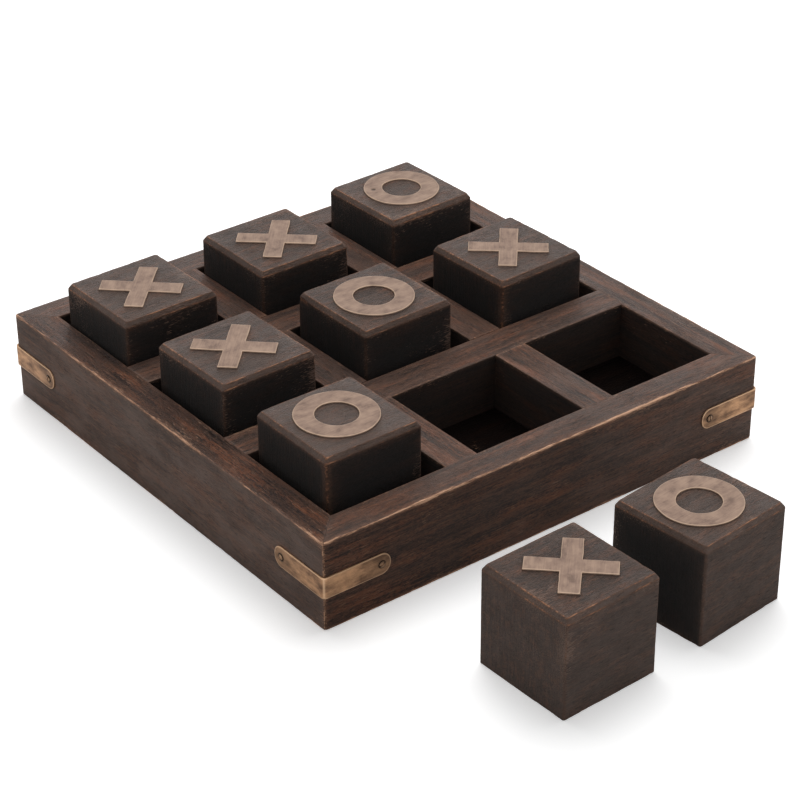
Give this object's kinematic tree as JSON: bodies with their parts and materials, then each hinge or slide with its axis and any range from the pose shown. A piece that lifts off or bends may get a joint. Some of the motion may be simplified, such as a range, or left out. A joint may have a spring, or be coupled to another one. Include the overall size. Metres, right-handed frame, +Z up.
{
  "type": "tic-tac-toe game",
  "caption": "Square wooden tray divided into a grid of cells, with brass corner straps, and lift-out wooden blocks topped with brass crosses and rings.",
  "frame": {"origin": "middle of the tray's underside, on the surface that the tray stands on", "axes": "+Z up out of the cells, +X to the right along the front rail, +Y from the front rail to the back rail; the loose blocks stand in front, towards -Y"},
  "size_m": [0.3084, 0.4375, 0.08],
  "materials": {
    "tray_wood": "dark stained, satin, edges rubbed through",
    "block_wood": "dark stained, satin, edges rubbed through",
    "mark_brass": "aged, brushed",
    "strap_brass": "aged, brushed",
    "screw_brass": "aged"
  },
  "bodies": {
    "board": {"rail_front": "tray_wood", "rail_right": "tray_wood", "rail_back": "tray_wood", "rail_left": "tray_wood", "divider_front": "tray_wood", "divider_back": "tray_wood", "divider_left": "tray_wood", "divider_right": "tray_wood", "base_board": "tray_wood", "corner_strap_front": "strap_brass", "corner_strap_right": "strap_brass", "corner_strap_back": "strap_brass", "corner_strap_left": "strap_brass", "strap_screws": "screw_brass"},
    "piece_x_1": {"block_x_1": "block_wood", "plate_x_1": "mark_brass"},
    "piece_x_2": {"block_x_2": "block_wood", "plate_x_2": "mark_brass"},
    "piece_x_3": {"block_x_3": "block_wood", "plate_x_3": "mark_brass"},
    "piece_x_4": {"block_x_4": "block_wood", "plate_x_4": "mark_brass"},
    "piece_x_5": {"block_x_5": "block_wood", "plate_x_5": "mark_brass"},
    "piece_o_1": {"block_o_1": "block_wood", "plate_o_1": "mark_brass"},
    "piece_o_2": {"block_o_2": "block_wood", "plate_o_2": "mark_brass"},
    "piece_o_3": {"block_o_3": "block_wood", "plate_o_3": "mark_brass"},
    "piece_o_4": {"block_o_4": "block_wood", "plate_o_4": "mark_brass"}
  },
  "joints": [
    {"name": "lift_x_1", "type": "slide", "parent": "board", "child": "piece_x_1", "axis": [0, 0, 1], "range_m": [0, 0.065]},
    {"name": "lift_x_2", "type": "slide", "parent": "board", "child": "piece_x_2", "axis": [0, 0, 1], "range_m": [0, 0.065]},
    {"name": "lift_x_3", "type": "slide", "parent": "board", "child": "piece_x_3", "axis": [0, 0, 1], "range_m": [0, 0.065]},
    {"name": "lift_x_4", "type": "slide", "parent": "board", "child": "piece_x_4", "axis": [0, 0, 1], "range_m": [0, 0.065]},
    {"name": "lift_x_5", "type": "slide", "parent": "board", "child": "piece_x_5", "axis": [0, 0, 1], "range_m": [0, 0.065]},
    {"name": "lift_o_1", "type": "slide", "parent": "board", "child": "piece_o_1", "axis": [0, 0, 1], "range_m": [0, 0.065]},
    {"name": "lift_o_2", "type": "slide", "parent": "board", "child": "piece_o_2", "axis": [0, 0, 1], "range_m": [0, 0.065]},
    {"name": "lift_o_3", "type": "slide", "parent": "board", "child": "piece_o_3", "axis": [0, 0, 1], "range_m": [0, 0.065]},
    {"name": "lift_o_4", "type": "slide", "parent": "board", "child": "piece_o_4", "axis": [0, 0, 1], "range_m": [0, 0.065]}
  ]
}
